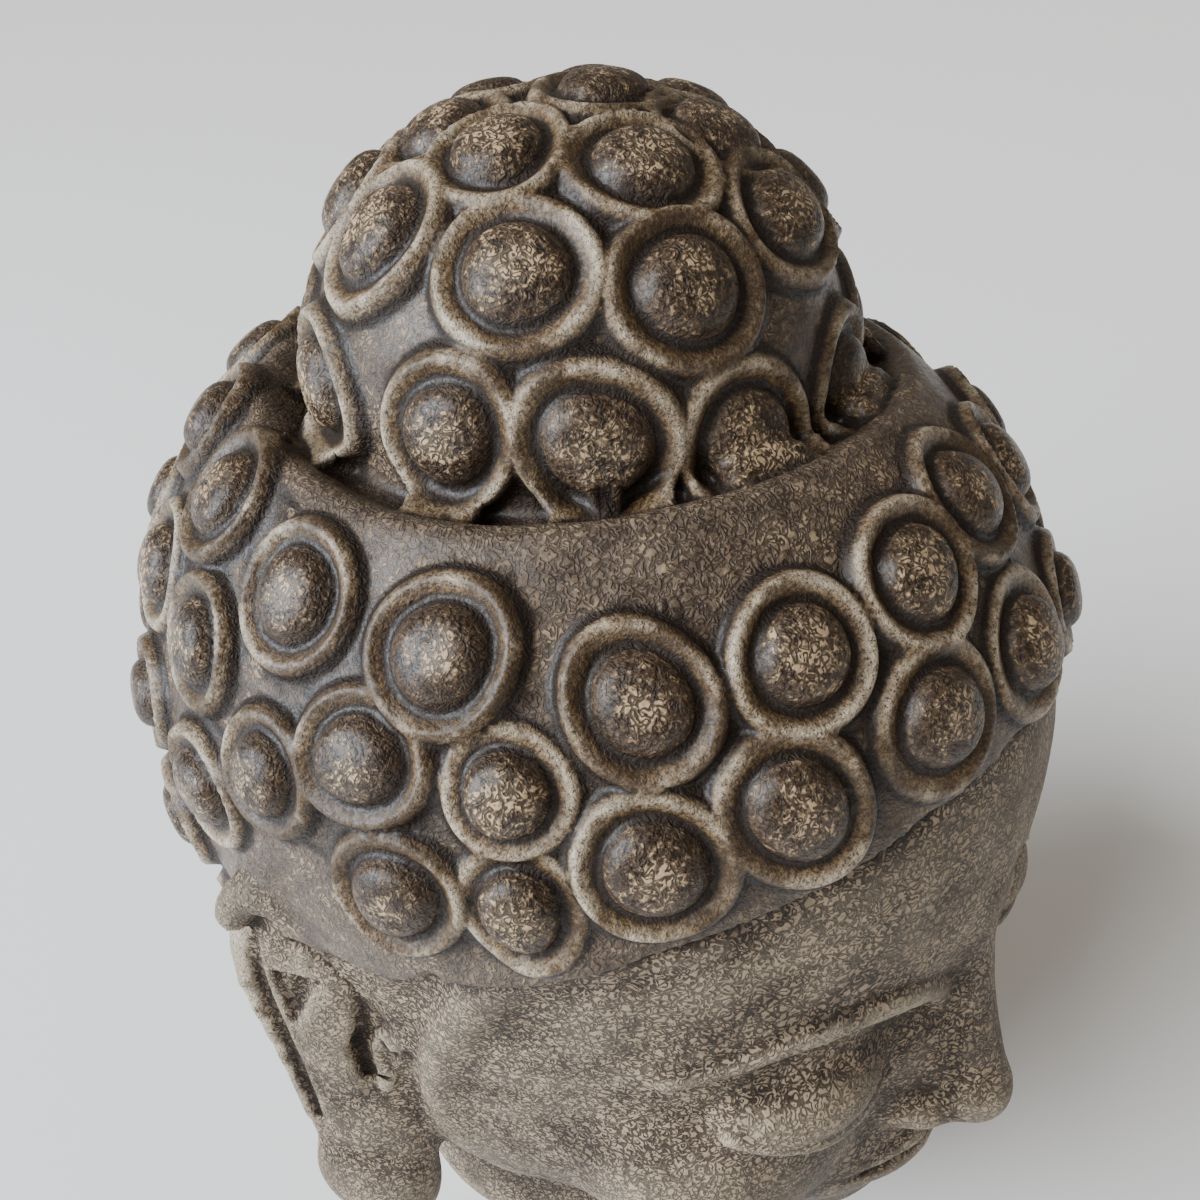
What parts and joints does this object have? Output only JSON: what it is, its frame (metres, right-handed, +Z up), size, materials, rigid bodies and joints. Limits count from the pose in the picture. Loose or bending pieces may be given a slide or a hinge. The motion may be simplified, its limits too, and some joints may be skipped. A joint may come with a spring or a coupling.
{
  "type": "stone buddha head",
  "caption": "Carved stone bust of a calm head with rows of round curls, a domed topknot and long ears, cut flat below the neck to stand on a shelf.",
  "frame": {"origin": "middle of the neck's flat underside, on the skull's vertical axis", "axes": "+Z up through the crown, -Y out of the face, +X to the figure's left"},
  "size_m": [0.1924, 0.2196, 0.2768],
  "materials": {
    "stone": "dark umber satin patina with tan flecks and worn tan rims"
  },
  "bodies": {
    "root": {"buddha_head": "stone"}
  },
  "joints": []
}
